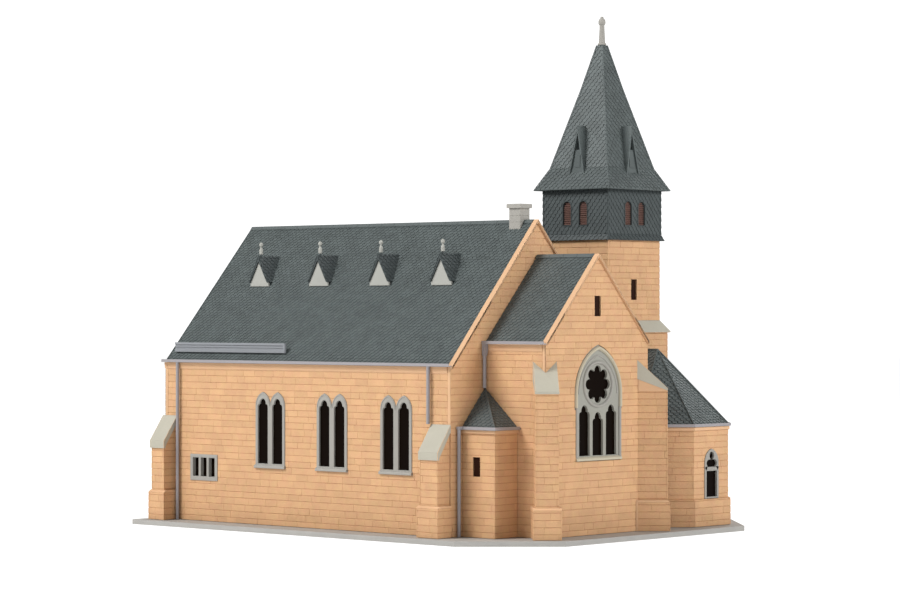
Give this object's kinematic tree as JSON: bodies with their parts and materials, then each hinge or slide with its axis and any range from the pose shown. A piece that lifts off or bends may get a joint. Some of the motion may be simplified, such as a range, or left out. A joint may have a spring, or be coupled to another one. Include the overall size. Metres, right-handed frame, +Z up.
{
  "type": "model church building",
  "caption": "Moulded scale model of a stone church on a base plate, with nave, lower chancel, stair turret, side tower with slate spire and an octagonal chapel.",
  "frame": {"origin": "centre of the bounding box in plan, on the underside of the base plate", "axes": "+X along the nave towards the chancel gable, +Y from the window side towards the tower side, +Z up"},
  "size_m": [0.2704, 0.214, 0.2692],
  "materials": {
    "sandstone": "moulded orange sandstone, matt, with darker joints",
    "slate": "dark grey-green moulded slates, matt",
    "trim": "light grey-green stone trim, matt",
    "gutter": "pale lilac-grey gutters and pipes, satin",
    "louvre": "reddish brown boards and louvres, matt",
    "pane": "dark panes, glossy",
    "plate": "grey moulded base, fine grain, matt"
  },
  "bodies": {
    "root": {"base_plate": "plate", "belfry": "slate", "belfry_louvres": "louvre", "buttress_north_west": "sandstone", "buttress_south_east": "sandstone", "buttress_south_west": "sandstone", "chancel_buttress_north": "sandstone", "chancel_buttress_south": "sandstone", "chancel_gable": "sandstone", "chancel_gutter_north": "gutter", "chancel_gutter_south": "gutter", "chancel_north_wall": "sandstone", "chancel_roof_north": "slate", "chancel_roof_south": "slate", "chancel_south_wall": "sandstone", "chancel_window": "trim", "chapel_gutter": "gutter", "chapel_roof": "slate", "chapel_walls": "sandstone", "chapel_window": "trim", "chimney": "trim", "dormer_north_1": "slate", "dormer_north_2": "slate", "dormer_north_3": "slate", "dormer_north_4": "slate", "dormer_south_1": "slate", "dormer_south_2": "slate", "dormer_south_3": "slate", "dormer_south_4": "slate", "nave_east_gable": "sandstone", "nave_gutter_north": "gutter", "nave_gutter_south": "gutter", "nave_north_wall": "sandstone", "nave_north_windows": "trim", "nave_roof_north": "slate", "nave_roof_south": "slate", "nave_south_wall": "sandstone", "nave_south_windows": "trim", "nave_west_gable": "sandstone", "snow_rail": "gutter", "spire": "slate", "spire_finial": "trim", "tower_lining": "pane", "tower_shaft": "sandstone", "turret_gutter": "gutter", "turret_pane": "pane", "turret_roof": "slate", "turret_walls": "sandstone", "west_door": "louvre", "west_window": "trim"}
  },
  "joints": []
}
